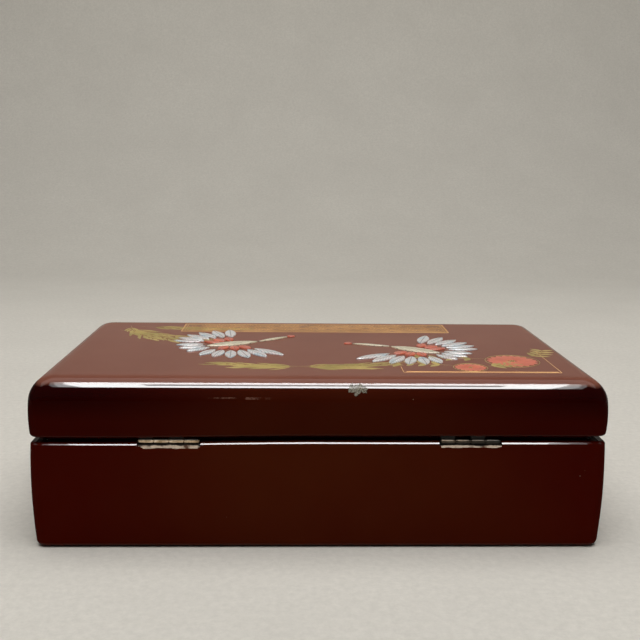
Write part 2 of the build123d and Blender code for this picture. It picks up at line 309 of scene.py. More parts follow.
def brass_material():
    """Tarnished brass: brown patches over dull yellow metal, and the hinge at -X nearly black. Painted shade
    turns it nearly black, rough and dull outside a narrow lit band at the pin's height.
    """
    g = Graph("tarnished_brass")
    x, _, z = g.split(g.coords)
    dull_end = g.range(x, -0.083, -0.065)
    dark_hinge = g.range(x, *HINGE_SPLIT, 0.88, 0.0)
    patch = g.plus(g.noise(260, 6, 0.65), g.range(x, *HINGE_SPLIT, -0.1, 0.02))
    bare = g.ramp(patch, ((0.34, (0.22, 0.14, 0.07)), (0.48, (0.62, 0.45, 0.28)), (0.66, (0.95, 0.80, 0.62))))
    bare = g.mix(dull_end, (0.14, 0.135, 0.11), bare)
    bare = g.mix(dark_hinge, bare, (0.004, 0.003, 0.002))
    # Painted shade: only a narrow band around the pin's height keeps the metal's colour; above and below it,
    # on the knuckles' tops and the lid leaf, it is painted nearly black.
    lit_band_z = g.range(x, *HINGE_SPLIT, PIN_Z * MM + 0.0003, PIN_Z * MM - 0.0001)
    off_lit_band = g.math("ABSOLUTE", g.math("SUBTRACT", z, lit_band_z))
    knuckle_painted_shade = g.range(off_lit_band, 0.0004, 0.0008)
    g.feed(Base_Color=g.mix(knuckle_painted_shade, bare, (0.012, 0.009, 0.007)))
    polish = g.range(g.noise(240, 4), 0.3, 0.7, 0.3, 0.55)
    g.feed(Roughness=g.math("MAXIMUM", polish, g.times(knuckle_painted_shade, 0.75)))
    g.feed(Metallic=g.range(knuckle_painted_shade, 0, 1, 0.75, 0.1))
    g.feed(Normal=g.bump(g.noise(900, 3), 0.00006, 0.5))
    return g.material


def velvet_material(name, deep, light, tooth=2600, sheen=0.7):
    """Short-pile cloth: patchy nap, sheen and a fine tooth."""
    g = Graph(name)
    nap = g.noise(38, 5, 0.6)
    pile = g.noise(tooth, 2, 0.6)
    tone = g.mix(g.range(nap, 0.35, 0.7), deep, light)
    g.feed(Base_Color=g.mix(g.range(pile, 0.3, 0.7, 0.0, 0.35), tone, tuple(c * 0.45 for c in deep)))
    tint = tuple(min(1, c * 3 + 0.1) for c in light)
    g.feed(Roughness=0.95, Sheen_Weight=sheen, Sheen_Roughness=0.35, Sheen_Tint=tint)
    g.feed(Normal=g.bump(pile, 0.0003, 0.5, g.bump(nap, 0.0012, 0.3)))
    return g.material


def satin_material():
    """Gold satin ribbon with fine cross ribs."""
    g = Graph("gold_satin")
    rib = g.math("SINE", g.times(g.split(g.coords)[2], 9000.0))
    tone = g.mix(g.range(g.noise(300, 3), 0.3, 0.7), (0.50, 0.36, 0.15), (0.64, 0.48, 0.22))
    g.feed(Base_Color=g.mix(g.range(rib, -1, 1, 0, 0.3), tone, (0.33, 0.22, 0.08)))
    g.feed(Roughness=0.38, Anisotropic=0.5, Sheen_Weight=0.3)
    g.feed(Normal=g.bump(rib, 0.00008, 0.5))
    return g.material


def mirror_material():
    """Silvered glass with faint smears."""
    g = Graph("silvered_glass")
    smear = g.noise(30, 6, 0.7, g.mapped((1, 3, 1)))
    g.feed(Base_Color=g.ramp(smear, ((0.3, (0.80, 0.82, 0.82)), (0.8, (0.88, 0.90, 0.90)))))
    g.feed(Roughness=g.range(smear, 0.5, 0.85, 0.015, 0.12))
    g.feed(Metallic=1.0)
    return g.material


def gold_material(name, deep, light, wear):
    """Painted gold, worn thin in places so that the lacquer shows through."""
    g = Graph(name)
    worn = g.range(g.noise(130, 5, 0.7), wear, wear + 0.12)
    tone = g.mix(g.range(g.noise(60, 4), 0.35, 0.65), deep, light)
    g.feed(Base_Color=g.mix(worn, tone, (0.10, 0.03, 0.012)), Metallic=g.range(worn, 0, 1, 0.45, 0.0))
    g.feed(Roughness=0.45)
    g.feed(Normal=g.bump(g.noise(1200, 2), 0.00004, 0.4))
    return g.material


def enamel_material(name, deep, light):
    """Painted or carved colour with soft mottling."""
    g = Graph(name)
    tone = g.mix(g.range(g.noise(170, 5, 0.6), 0.35, 0.65), deep, light)
    g.feed(Base_Color=g.mix(engraving(g), tone, tuple(c * 0.22 for c in deep)))
    g.feed(Roughness=0.4, Coat_Weight=0.25, Coat_Roughness=0.15)
    return g.material


def shell_material():
    """Mother-of-pearl: pale blue, rose and cream clouds under a soft gloss."""
    g = Graph("pearl_shell")
    blue, cream, rose, green = (0.44, 0.56, 0.66), (0.74, 0.78, 0.80), (0.80, 0.70, 0.70), (0.60, 0.74, 0.72)
    sheet = g.noise(120, 3, 0.5, distortion=1.4)
    tone = g.ramp(sheet, ((0.30, blue), (0.45, cream), (0.58, rose), (0.72, green)))
    g.feed(Base_Color=g.mix(engraving(g), tone, (0.06, 0.035, 0.03)))
    g.feed(Roughness=0.3, Metallic=0.1, Coat_Weight=0.5, Coat_Roughness=0.1)
    return g.material


def engraving(g):
    """Engraved shaft and slanting barbs across a plate, from its own length and width."""
    along, across, _ = g.split(g.uvs)
    off_shaft = g.math("ABSOLUTE", g.math("SUBTRACT", across, 0.5))
    shaft = g.range(off_shaft, 0.045, 0.025)
    slant = g.math("SUBTRACT", along, g.times(off_shaft, 0.5))
    barb = g.range(g.math("SINE", g.times(slant, 50.0)), 0.86, 0.97)
    return g.times(g.math("MAXIMUM", shaft, g.times(barb, 0.8)), 0.85)


# Mesh helpers


def mesh_object(name, verts, faces, materials, smooth=True, sharp_angle=None):
    """Mesh from points in millimetres, in the row frame."""
    mesh = bpy.data.meshes.new(name)
    mesh.from_pydata([Vector(v) * MM for v in verts], [], faces)
    mesh.validate()
    for material in materials:
        mesh.materials.append(material)
    for polygon in mesh.polygons:
        polygon.use_smooth = smooth
    if sharp_angle:
        mesh.set_sharp_from_angle(angle=math.radians(sharp_angle))
    obj = bpy.data.objects.new(name, mesh)
    scene.collection.objects.link(obj)
    return obj


def place_piece(obj, body, slot, *nodes):
    """Rides a piece on its body and lets it stand for its CAD nodes; its finish slot is not used."""
    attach(obj, body)
    if nodes:
        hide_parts(*nodes)
    return obj


def smooth_step(value):
    share = min(1.0, max(0.0, value))
    return share * share * (3 - 2 * share)


SIDES = ("front", "rear", "left", "right")
CORNER_STEPS = 14
LONG_STEPS = 54
SHORT_STEPS = 30


def plan_ring(z, draw, radius):
    """Rounded rectangle around the box at height z, counter-clockwise from the front right corner."""
    half_x, half_y = LENGTH / 2 - draw, DEPTH / 2 - draw
    centre_x, centre_y = half_x - radius, half_y - radius
    points = []
    corners = ((1, -1, -90), (1, 1, 0), (-1, 1, 90), (-1, -1, 180))
    for index, (sx, sy, start) in enumerate(corners):
        for step in range(CORNER_STEPS + 1):
            angle = math.radians(start + 90 * step / CORNER_STEPS)
            reach_x, reach_y = radius * math.cos(angle), radius * math.sin(angle)
            points.append((sx * centre_x + reach_x, sy * centre_y + reach_y, z))
        nx, ny, turn = corners[(index + 1) % 4]
        steps = SHORT_STEPS if index % 2 == 0 else LONG_STEPS
        first = points[-1]
        angle = math.radians(turn)
        last = (nx * centre_x + radius * math.cos(angle), ny * centre_y + radius * math.sin(angle))
        for step in range(1, steps):
            share = step / steps
            x, y = (a + (b - a) * share for a, b in zip(first, last))
            points.append((x, y, z))
    return points


def skin(rings, closed=False, cap_first=False, cap_last=False):
    """Vertices and quads between rings of equal length."""
    count = len(rings[0])
    verts = [point for ring in rings for point in ring]
    faces = []
    for low in range(len(rings) if closed else len(rings) - 1):
        high = (low + 1) % len(rings)
        for k in range(count):
            after = (k + 1) % count
            faces.append((low * count + k, low * count + after, high * count + after, high * count + k))
    if cap_first:
        faces.append(tuple(reversed(range(count))))
    if cap_last:
        start = (len(rings) - 1) * count
        faces.append(tuple(range(start, start + count)))
    return verts, faces


def grid(columns, rows, corner):
    """Vertices and quads of a sheet of cells; corner gives the place of each."""
    verts = [corner(i, j) for j in range(rows + 1) for i in range(columns + 1)]
    faces = []
    for j in range(rows):
        for i in range(columns):
            a = j * (columns + 1) + i
            faces.append((a, a + 1, a + columns + 2, a + columns + 1))
    return verts, faces


def merged(parts):
    """One list of vertices and one of faces from several pairs of them."""
    verts, faces = [], []
    for points, quads in parts:
        faces += [tuple(len(verts) + k for k in quad) for quad in quads]
        verts += points
    return verts, faces


def through(z, marks):
    """Smooth value at z through three (z, value) marks."""
    (za, a), (zb, b), (zc, c) = marks
    return (
        a * (z - zb) * (z - zc) / ((za - zb) * (za - zc))
        + b * (z - za) * (z - zc) / ((zb - za) * (zb - zc))
        + c * (z - za) * (z - zb) / ((zc - za) * (zc - zb))
    )


def arc_profile(centre_z, centre_draw, radius, start, end, steps):
    """Points (z, draw) on an arc; angle 0 points out of the wall and 90 points up."""
    points = []
    for step in range(steps + 1):
        angle = math.radians(start + (end - start) * step / steps)
        points.append((centre_z + radius * math.sin(angle), centre_draw - radius * math.cos(angle)))
    return points


def edge_centre(edge_z, side, radius, upwards):
    """Middle of the arc that rounds the side's edge at edge_z, and the angle at which it meets the side."""
    sign = 1 if upwards else -1
    centre_z = edge_z - sign * radius
    slope = math.atan(side(centre_z + 0.5) - side(centre_z - 0.5))
    touch_z = centre_z + radius * math.sin(slope)
    return centre_z, side(touch_z) + radius * math.cos(slope), math.degrees(slope)


# Base and lid, each one skin of lacquer over its mitred boards

RIM_FACET_ANGLE = 42.0
RIM_FACET_LENGTH = 0.62
RIM_SMALL_R = 0.45
RIM_TOP_R = 1.5
SEAM_DIP_RUN = 100.0
SEAM_DIP_HEIGHT = 12.0
LID_DIP = 1.15
RIM_DIP = 1.1


def settle(verts, seam_z, depth):
    """The hand-planed seam lies a little lower towards the rear's +X end."""
    settled = []
    for x, y, z in verts:
        near = max(0.0, 1 - abs(z - seam_z) / SEAM_DIP_HEIGHT)
        share = smooth_step(x / SEAM_DIP_RUN) * smooth_step(y / DEPTH * 2) * near * near
        settled.append((x, y, z - depth * share))
    return settled


def climb(side, low, high, steps):
    """Points (z, draw) up a side between two rounded edges."""
    heights = [low + 0.4] + [low + (high - low) * k / steps for k in range(1, steps)] + [high - 0.3]
    return [(z, side(z)) for z in heights]


def base_profile():
    """Closed profile of the base wall, as (z, draw), from the foot's inner edge around to the inner face."""
    marks = ((BASE_BOTTOM, FOOT_DRAW), (BASE_BELLY_Z, BASE_BELLY_DRAW), (RIM, RIM_DRAW))

    def side(z):
        return through(z, marks)

    foot_z, foot_draw, foot_angle = edge_centre(BASE_BOTTOM, side, FOOT_EDGE_R, False)
    profile = [(BASE_BOTTOM, WALL), (BASE_BOTTOM, WALL - 0.4), (BASE_BOTTOM, foot_draw + 0.4)]
    profile += arc_profile(foot_z, foot_draw, FOOT_EDGE_R, -90, foot_angle, 10)
    facet = math.radians(RIM_FACET_ANGLE)
    rise, inset = RIM_FACET_LENGTH * math.cos(facet), RIM_FACET_LENGTH * math.sin(facet)
    top_z = RIM - RIM_TOP_R
    high = top_z + RIM_TOP_R * math.sin(facet) - rise - RIM_SMALL_R * math.sin(facet)
    profile += climb(side, profile[-1][0], high, 12)
    draw = side(high) + RIM_SMALL_R
    profile += arc_profile(high, draw, RIM_SMALL_R, 0, RIM_FACET_ANGLE, 5)
    start_z, start_draw = profile[-1]
    for share in (0.08, 0.92):
        profile.append((start_z + rise * share, start_draw + inset * share))
    top_draw = start_draw + inset + RIM_TOP_R * math.cos(facet)
    profile += arc_profile(top_z, top_draw, RIM_TOP_R, RIM_FACET_ANGLE, 90, 8)
    flat = profile[-1][1]
    profile += [(RIM, flat + 0.2), (RIM, WALL - 0.9), (RIM, WALL - 0.6)]
    return profile + [(RIM - 0.15, WALL - 0.15), (RIM - 0.6, WALL)]


def lid_profile():
    """Open profile of the lid, as (z, draw, corner radius), from the ceiling out and over to the top."""
    belly_z = LID_BOTTOM + LID_BELLY_RISE
    draws = ((LID_BOTTOM, LID_SEAM_DRAW), (belly_z, 0.0), (TOP, LID_TOP_DRAW))
    radii = ((LID_BOTTOM, CORNER_R), (belly_z, LID_BELLY_CORNER_R), (TOP, LID_TOP_CORNER_R))

    def side(z):
        return through(z, draws)

    seam_z, seam_draw, seam_angle = edge_centre(LID_BOTTOM, side, SEAM_EDGE_R, False)
    top_z, top_draw, top_angle = edge_centre(TOP, side, LID_EDGE_R, True)
    rings = [(CEILING, WALL + 0.5, 0.5), (CEILING - 0.5, WALL, 0.5)]
    rings += [(LID_BOTTOM + 0.6, WALL, 0.5), (LID_BOTTOM + 0.15, WALL - 0.15, 0.6)]
    rings += [(LID_BOTTOM, WALL - 0.6, 1.0), (LID_BOTTOM, WALL - 0.9, 1.2)]
    outer = [(LID_BOTTOM, seam_draw + 0.3)] + arc_profile(seam_z, seam_draw, SEAM_EDGE_R, -90, seam_angle, 9)
    outer += climb(side, outer[-1][0], top_z + LID_EDGE_R * math.sin(math.radians(top_angle)), 6)
    outer += arc_profile(top_z, top_draw, LID_EDGE_R, top_angle, 90, 24)
    for z, draw in outer:
        rings.append((z, draw, max(1.6, through(z, radii) - max(0.0, draw - side(z)))))
    for inset in (0.5, 3, 10, 24, 42, 60):
        rings.append((TOP, top_draw + inset, 1.5))
    return rings


def seat_cutter(middle, lip_drop, slant, raw):
    """Block that cuts one hinge seat: flat under the leaf, with a ragged lip that falls away at the face."""
    half, steps = BARREL_LEN / 2 + 0.6, 30
    relief_y, lip_y, out_y, over_z = PIN_Y - 1.75, DEPTH / 2 - RIM_DRAW - 1.1, DEPTH / 2 + 2, RIM + 6
    rings = []
    for step in range(steps + 1):
        share = step / steps
        x = middle - half + 2 * half * share
        ragged = 0.28 * noise.noise(Vector((x * 0.35, 1.7, 3.1)))
        ragged += 0.12 * noise.noise(Vector((x * 1.6, 4.2, 0.3)))
        end = min(1.0, (x - middle + half) / 2.5 + 0.25, ((middle + half) - x) / (0.8 + slant) + 0.2)
        lip_z = SEAT_Z - 0.1 - 0.15 * (1 - end)
        fall = (lip_drop + ragged) * end * (out_y - lip_y) / (DEPTH / 2 - RIM_DRAW - lip_y)
        section = [(SEAT_INNER_Y, SEAT_Z), (relief_y, SEAT_Z), (relief_y + 0.01, SEAT_Z - 0.25)]
        section += [(lip_y, lip_z), (out_y, lip_z - fall), (out_y, over_z), (SEAT_INNER_Y, over_z)]
        rings.append([(x, y, z) for y, z in section])
    verts, faces = skin(rings, cap_first=True, cap_last=True)
    return mesh_object("seat_cutter", verts, faces, [raw], smooth=False)


def carve(obj, cutter):
    """Cuts the cutter out of a piece and applies the cut; the cut faces take the cutter's material."""
    modifier = obj.modifiers.new("cut", "BOOLEAN")
    modifier.object, modifier.operation, modifier.solver = cutter, "DIFFERENCE", "EXACT"
    modifier.material_mode = "TRANSFER"
    graph = bpy.context.evaluated_depsgraph_get()
    mesh = bpy.data.meshes.new_from_object(obj.evaluated_get(graph))
    obj.modifiers.clear()
    obj.data = mesh
    bpy.data.objects.remove(cutter)


LIP_DROPS = (1.0, 1.6)
LIP_SLANTS = (0.2, 2.4)


def add_base_shell(lacquer, raw):
    rings = []
    for z, draw in base_profile():
        radius = max(0.6, CORNER_R - max(0.0, draw - FOOT_DRAW))
        rings.append(plan_ring(z, draw, radius))
    verts, faces = skin(rings, closed=True)
    shell = mesh_object("base_shell", settle(verts, RIM, RIM_DIP), faces, [lacquer])
    for middle, drop, slant in zip(HINGE_XS, LIP_DROPS, LIP_SLANTS):
        carve(shell, seat_cutter(middle, drop, slant, raw))
    shell.data.set_sharp_from_angle(angle=math.radians(38))
    return place_piece(shell, "base", "lacquered_wood", *(f"base_{side}_board" for side in SIDES))


def add_lid_shell(lacquer):
    rings = [plan_ring(z, draw, radius) for z, draw, radius in lid_profile()]
    verts, faces = skin(rings, cap_first=True, cap_last=True)
    shell = mesh_object("lid_shell", settle(verts, LID_BOTTOM, LID_DIP), faces, [lacquer])
    boards = [f"lid_{side}_board" for side in SIDES]
    return place_piece(shell, "lid", "lacquered_wood", "lid_top_panel", *boards)


def marks_along(size, radius, step):
    """Places of grid lines along one side of a rounded block, closer together at its ends."""
    ends = [0.0, radius * 0.3, radius]
    count = max(1, round((size - 2 * radius) / step))
    middle = [radius + (size - 2 * radius) * k / count for k in range(1, count)]
    return ends + middle + [size - end for end in reversed(ends)]


def rounded_block(low, high, radius, crown=0.0, ripple=0.0, step=5.0):
    """Points and faces of a rounded, slightly rippled block between two corners, its top crowned."""
    size = high - low
    radius = min(radius, min(size) * 0.45)
    marks = [marks_along(size[axis], radius, step) for axis in range(3)]
    lattice, verts, faces = {}, [], []

    def vertex(key):
        if key not in lattice:
            lattice[key] = len(verts)
            spot = Vector([marks[axis][key[axis]] for axis in range(3)])
            core = Vector([min(max(spot[axis], radius), size[axis] - radius) for axis in range(3)])
            out = (spot - core).normalized()
            spot = core + out * radius
            wave = 0.5 + 0.5 * noise.noise((low + spot) * 0.09)
            bell = (1 - (2 * spot.x / size.x - 1) ** 4) * (1 - (2 * spot.y / size.y - 1) ** 4)
            spot -= out * ripple * wave
            if out.z > 0:
                spot.z -= crown * (1 - bell) * out.z
            verts.append(low + spot)
        return lattice[key]

    for axis in range(3):
        u, v = (axis + 1) % 3, (axis + 2) % 3
        for end in (0, len(marks[axis]) - 1):
            for i in range(len(marks[u]) - 1):
                for j in range(len(marks[v]) - 1):
                    quad = []
                    for du, dv in ((0, 0), (1, 0), (1, 1), (0, 1)):
                        key = [0, 0, 0]
                        key[axis], key[u], key[v] = end, i + du, j + dv
                        quad.append(vertex(tuple(key)))
                    faces.append(quad if end else quad[::-1])
    return verts, faces


def soft_block(name, node, material, radius=0.6, crown=0.0, ripple=0.12, step=5.0):
    """Rounded, slightly rippled block inside a node's box; its upper face is crowned."""
    low, high = node_box(node)
    verts, faces = rounded_block(low, high, radius, crown, ripple, step)
    return mesh_object(name, verts, faces, [material])


KNUCKLES = 4
KNUCKLE_GAP = 0.3
KNUCKLE_TURNS = 28
LEAF_T = 0.7


def knuckle(low, high, seed):
    """Rolled knuckle from low to high, slightly dented and drawn in at its ends."""
    stations = [(low, 0.72), (low + 0.12, 0.9), (low + 0.45, 1.0)]
    stations += [(low + 0.45 + (high - low - 0.9) * k / 8, 1.0) for k in range(1, 8)]
    stations += [(high - 0.45, 1.0), (high - 0.12, 0.9), (high, 0.72)]
    rings = []
    for x, share in stations:
        ring = []
        for turn in range(KNUCKLE_TURNS):
            angle = 2 * math.pi * turn / KNUCKLE_TURNS
            dent = 0.04 * noise.noise(Vector((x * 0.5, math.cos(angle), math.sin(angle) + seed)))
            reach = BARREL_R * (share - 0.17 + dent)
            ring.append((x, PIN_Y + reach * math.cos(angle), PIN_Z + reach * math.sin(angle)))
        rings.append(ring)
    return skin(rings, cap_first=True, cap_last=True)


def add_hinges(brass):
    """Both hinges: thin leaves, cranked to reach their rolled knuckles."""
    pitch = BARREL_LEN / KNUCKLES
    for side, middle in zip(("left", "right"), HINGE_XS):
        for part, first in (("base", 0), ("lid", 1)):
            node = f"hinge_{side}_{part}_leaf"
            low, high = node_box(node)
            foot = low.z if part == "base" else high.z - LEAF_T - 0.04
            plate_y = PIN_Y - BARREL_R - 0.25
            blocks = [((low.x, low.y, foot), (high.x, plate_y, foot + LEAF_T))]
            parts = []
            for index in range(first, KNUCKLES, 2):
                start = middle - BARREL_LEN / 2 + pitch * index + KNUCKLE_GAP / 2
                end = start + pitch - KNUCKLE_GAP
                blocks.append(((start, plate_y - 0.2, foot), (end, PIN_Y - 0.1, foot + LEAF_T)))
                if part == "lid":
                    blocks.append(((start, PIN_Y - 0.75, PIN_Z), (end, PIN_Y, foot + LEAF_T)))
                parts.append(knuckle(start, end, index))
            parts += [rounded_block(*map(Vector, corners), 0.12, step=3.0) for corners in blocks]
            verts, faces = merged(parts)
            piece = mesh_object(f"{node}_rolled", verts, faces, [brass], sharp_angle=50)
            place_piece(piece, part, "hinge_brass", node)


# Soft pieces: velvet over card, the pads and rolls, the felt and the ribbons


ROLL_STEPS = 12
ROLL_ENDS = ((0.0, 0.55), (0.5, 0.78), (1.2, 0.92), (2.4, 1.0))


def ring_roll(node, material):
    """Padded bar with a round top, drawn in at its ends and slightly lumpy along its length."""
    low, high = node_box(node)
    size = high - low
    half, shoulder = size.y / 2, size.z - size.y / 2
    section = [(-half + 0.5, 0.0), (-half + 0.1, 0.6)]
    for step in range(ROLL_STEPS + 1):
        angle = math.pi * step / ROLL_STEPS
        section.append((-half * math.cos(angle), shoulder + half * math.sin(angle)))
    section += [(half - 0.1, 0.6), (half - 0.5, 0.0)]
    count = round((size.x - 6) / 3)
    stations = list(ROLL_ENDS)
    stations += [(3 + (size.x - 6) * k / count, 1.0) for k in range(count + 1)]
    stations += [(size.x - x, share) for x, share in reversed(ROLL_ENDS)]
    centre_z = size.z * 0.45
    rings = []
    for x, share in stations:
        ring = []
        for y, z in section:
            lump = 0.973 + 0.03 * noise.noise(Vector((low.x + x, low.y + y * 2, z)) * 0.16)
            out_y, out_z = y * share * lump, (z - centre_z) * share * lump
            ring.append((low.x + x, low.y + half + out_y, low.z + centre_z + out_z))
        rings.append(ring)
    verts, faces = skin(rings, cap_first=True, cap_last=True)
    roll = mesh_object(f"{node}_velvet", verts, faces, [material], sharp_angle=60)
    place_piece(roll, "tray", "velvet", node)


RIBBON_WAVE = 0.05
RIBBON_T = 0.34


def ribbon(side, material):
    """Satin band glued down a tray wall, standing up as a pull tab with a soft wave."""
    node = f"tray_ribbon_{side}"
    low, high = node_box(node)
    width, rise = high.y - low.y, high.z - low.z
    middle = (low.x + high.x) / 2
    across, up = 12, 14

    def layer(face):
        def corner(i, j):
            y, z = low.y + width * i / across, low.z + rise * j / up
            wave = RIBBON_WAVE * math.sin(y * 1.1) * smooth_step((j / up - 0.6) * 2.5)
            edge = 0.35 if i in (0, across) or j in (0, up) else 1.0
            return middle + wave + face * RIBBON_T / 2 * edge, y, z

        return grid(across, up, corner)

    back, quads = layer(-1)
    front, _ = layer(1)
    size = len(back)
    faces = quads + [tuple(size + k for k in reversed(quad)) for quad in quads]
    rim = [(i, 0) for i in range(across)] + [(across, j) for j in range(up)]
    rim += [(i, up) for i in range(across, 0, -1)] + [(0, j) for j in range(up, 0, -1)]
    loop = [j * (across + 1) + i for i, j in rim]
    for a, b in zip(loop, loop[1:] + loop[:1]):
        faces.append((a, size + a, size + b, b))
    band = mesh_object(f"{node}_band", back + front, faces, [material])
    place_piece(band, "tray", "ribbon_satin", node)


def add_interior(velvet, felt, satin):
    """Everything soft: linings, tray, ledges, ribbons, backing, floor pad, ring rolls and felt."""

    def covered(body, slot, node, **shape):
        return place_piece(soft_block(f"{node}_velvet", node, velvet, **shape), body, slot, node)

    for side in SIDES:
        for part in ("base", "lid"):
            covered(part, "velvet", f"{part}_lining_{side}", radius=0.7)
        covered("tray", "tray_velvet", f"tray_{side}_wall", radius=1.2)
    for part in ("floor", "long_divider", "lane_divider", "pocket_divider_1", "pocket_divider_2"):
        covered("tray", "tray_velvet", f"tray_{part}", radius=0.9)
    for side in ("left", "right"):
        covered("base", "velvet", f"tray_ledge_{side}", radius=0.8)
        ribbon(side, satin)
    covered("lid", "velvet", "lid_backing", radius=0.5)
    covered("base", "velvet", "base_floor_pad", radius=1.3, crown=0.9, ripple=0.3)
    for number in range(1, 5):
        ring_roll(f"ring_roll_{number}", velvet)
    sheet = soft_block("base_felt_sheet", "base_felt", felt, radius=0.2, ripple=0.02, step=7.0)
    place_piece(sheet, "base", "underside_felt", "base_felt")


# Decoration on the lid


STROKE_CROWN = 0.11


class Drawing:
    """Raised strokes and plates on the lid's top, gathered into one mesh."""

    def __init__(self):
        self.verts, self.faces = [], []

    def ridge(self, rows):
        """Two strips of faces over rows of a left, a crest and a right point."""
        start = len(self.verts)
        self.verts += [point for row in rows for point in row]
        for a in range(start, len(self.verts) - 3, 3):
            self.faces += [(a, a + 3, a + 4, a + 1), (a + 1, a + 4, a + 5, a + 2)]

    def stroke(self, points, width, taper=0.35):
        """Raised line along plan points, thinner over the taper share at each end."""
        rows, last = [], len(points) - 1
        for k, (x, y) in enumerate(points):
            before, after = points[max(0, k - 1)], points[min(last, k + 1)]
            along = Vector((after[0] - before[0], after[1] - before[1], 0)).normalized()
            end = min(k, last - k) / max(1, last)
            share = 1.0 if taper <= 0 else 0.15 + 0.85 * min(1.0, end / taper)
            side = Vector((-along.y, along.x, 0)) * width / 2 * share
            middle = Vector((x, y, TOP))
            rows.append((middle - side, middle + Vector((0, 0, STROKE_CROWN * share)), middle + side))
        self.ridge(rows)

    def petal(self, root, angle, length, width, crown=0.16, curl=0.0, bluntness=0.5, steps=9):
        """Leaf or petal from root along angle, widest at the bluntness share of its length."""
        rows = []
        for k in range(steps + 1):
            share = k / steps
            turn = math.radians(angle + curl * share)
            spread = 0.0
            if 0 < share < 1:
                spread = math.sin(math.pi * share ** (math.log(0.5) / math.log(bluntness))) ** 0.8
            along = Vector((math.cos(turn), math.sin(turn), 0))
            side = Vector((-along.y, along.x, 0)) * width / 2 * max(spread, 0.04)
            middle = Vector((*root, TOP)) + along * length * share
            rows.append((middle - side, middle + Vector((0, 0, crown * (0.3 + 0.7 * spread))), middle + side))
        self.ridge(rows)

    def ring(self, centre, radius, width, start=0.0, end=360.0, steps=28):
        points = []
        for k in range(steps + 1):
            angle = math.radians(start + (end - start) * k / steps)
            points.append((centre[0] + radius * math.cos(angle), centre[1] + radius * math.sin(angle)))
        self.stroke(points, width, taper=0.0)

    def finish(self, name, material, slot="lacquered_wood"):
        place_piece(mesh_object(name, self.verts, self.faces, [material]), "lid", slot)


def bend(start, heading, length, turn, steps=12):
    """Plan points of a stem that starts along heading and turns steadily."""
    points, x, y = [start], start[0], start[1]
    for k in range(steps):
        angle = math.radians(heading + turn * (k + 0.5) / steps)
        x, y = x + math.cos(angle) * length / steps, y + math.sin(angle) * length / steps
        points.append((x, y))
    return points


# Stems of the decoration: root, heading, length, turn
REEDS = (
    ((112, -52), 132, 74, 30),
    ((114, -44), 150, 52, -24),
    ((104, -56), 165, 66, 18),
    ((110, -58), 100, 48, 34),
    ((12, 50), 182, 50, 10),
    ((10, 51), 172, 34, 14),
    ((8, 50), -2, 44, -10),
    ((10, 51), 8, 28, -16),
)
TWIGS = (
    ((-86, 30), 8, 34, -26),
    ((-108, 27), 214, 20, 40),
    ((-82, 48), 186, 14, 30),
    ((-66, 47), -20, 26, 24),
)
BLOSSOMS = (((-98, 36), 13.0), ((-74, 51), 8.0))
PETAL_RINGS = ((1.0, 20, 0.30), (0.68, 16, 0.26), (0.38, 10, 0.22))


def add_reeds(gold, rng):
    """Sprays of slender leaves on bending stems."""
    drawing, joints = Drawing(), 14
    for root, heading, length, turn in REEDS:
        stem = bend(root, heading, length, turn, joints)
        drawing.stroke(stem, 0.7, taper=0.5)
        for k in range(2, joints):
            (x0, y0), (x1, y1) = stem[k - 1], stem[k]
            along = math.degrees(math.atan2(y1 - y0, x1 - x0))
            for side in (-1, 1):
                reach = rng.uniform(9, 15) * (1.1 - 0.4 * k / joints)
                angle = along + side * rng.uniform(22, 46)
                drawing.petal((x1, y1), angle, reach, rng.uniform(1.5, 2.3), curl=-side * 18)
    drawing.finish("gold_reeds", gold)


def add_blossoms(coral, gold, rng):
    """Two many-petalled round blossoms with leaves, near the rear edge at -X."""
    petals, centres, leaves = Drawing(), Drawing(), Drawing()
    for centre, radius in BLOSSOMS:
        for ring_share, count, width in PETAL_RINGS:
            reach, crown = radius * ring_share, 0.12 + 0.14 * (1 - ring_share)
            for k in range(count):
                angle = 360 * (k + 0.5 * (count % 4 == 0)) / count + rng.uniform(-2, 2)
                turn = math.radians(angle)
                root = (centre[0] + math.cos(turn) * reach * 0.3, centre[1] + math.sin(turn) * reach * 0.3)
                petals.petal(root, angle, reach * 0.7, radius * width, crown=crown, bluntness=0.66)
        centres.ring(centre, radius * 0.1, 0.5)
        centres.ring(centre, radius * 1.05, 0.3)
    for root, heading, length, turn in TWIGS:
        stem = bend(root, heading, length, turn)
        leaves.stroke(stem, 0.55, taper=0.5)
        for k in (3, 6, 9, 12):
            for side in (-1, 1):
                angle, reach = heading + turn * k / 12 + side * 42, rng.uniform(6, 9)
                leaves.petal(stem[k], angle, reach, 3.0, curl=side * 12, bluntness=0.45)
    petals.finish("coral_blossoms", coral, "coral")
    centres.finish("gold_blossom_rings", gold)
    leaves.finish("gold_blossom_leaves", gold)


WAVE_R = 7.6
WAVE_ROWS = 4
WAVE_HALF = 78.0
WAVE_FAR_Y = -66.0
WAVE_PITCH = WAVE_R * 0.62


